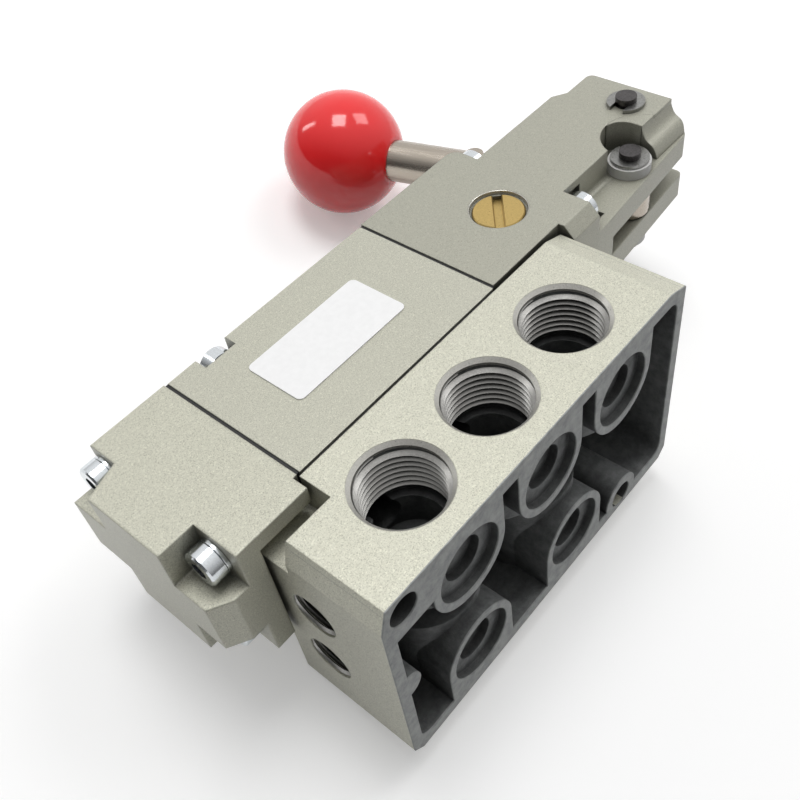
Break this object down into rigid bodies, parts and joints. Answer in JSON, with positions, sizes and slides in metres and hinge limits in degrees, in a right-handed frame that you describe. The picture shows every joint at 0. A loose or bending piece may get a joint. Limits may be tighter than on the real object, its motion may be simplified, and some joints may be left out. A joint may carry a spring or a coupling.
{
  "type": "hand lever air valve",
  "caption": "Two-position hand lever air valve on a ported sub-base, with a round knob on a tilting lever that shifts a spool.",
  "frame": {"origin": "centre of the sub-base's mounting face", "axes": "+X along the valve towards the lever bracket, +Y from the mounting face towards the knob, +Z out of the face with three ports; the valve lies on the opposite face"},
  "size_m": [0.1475, 0.1155, 0.0528],
  "materials": {
    "base_paint": "speckled champagne silver paint over a die casting, bare inside",
    "cover_paint": "speckled champagne silver paint",
    "valve_paint": "speckled grey champagne paint",
    "housing_paint": "fine grey champagne paint",
    "gasket": "black sheet rubber",
    "seal": "black nitrile rubber",
    "label": "white film, bare",
    "inner_steel": "ground stainless steel",
    "pin_steel": "dark oiled steel",
    "clip_steel": "grey spring steel",
    "spring_steel": "spring wire",
    "zinc_screw": "bright zinc plate",
    "brass_plug": "turned brass",
    "lever_steel": "satin steel",
    "nylon": "milky nylon",
    "red_knob": "glossy red plastic"
  },
  "bodies": {
    "valve": {"sub_base": "base_paint", "base_gasket": "gasket", "valve_body": "valve_paint", "nameplate": "label", "spool_sleeve": "inner_steel", "sleeve_seals": "seal", "end_cover": "cover_paint", "end_cover_gasket": "gasket", "end_cover_screws": "zinc_screw", "body_screws": "zinc_screw", "lever_housing": "housing_paint", "housing_gasket": "gasket", "housing_screws": "zinc_screw", "rod_seal": "seal", "detent_plug": "brass_plug", "detent_plug_seal": "seal", "detent_spring": "spring_steel", "detent_ball": "pin_steel", "pivot_pin": "pin_steel", "pivot_washers": "nylon", "stop_pin": "pin_steel", "retaining_clips": "clip_steel"},
    "lever": {"lever_plate": "lever_steel", "lever_rod": "lever_steel", "rod_rivets": "lever_steel", "ball_knob": "red_knob"},
    "spool": {"spool": "inner_steel", "spool_seals": "seal", "drive_pin": "pin_steel"}
  },
  "joints": [
    {"name": "lever_swing", "type": "hinge", "parent": "valve", "child": "lever", "pos_m": [0.0746, 0.03135, 0.0102], "axis": [0, 0, 1], "range_deg": [-32.6, 0]},
    {"name": "spool_shift", "type": "slide", "parent": "valve", "child": "spool", "axis": [1, 0, 0], "range_m": [0, 0.0059]}
  ],
  "couplings": [
    {"joint": "spool_shift", "follows": "lever_swing", "m_per_rad": -0.01033}
  ]
}
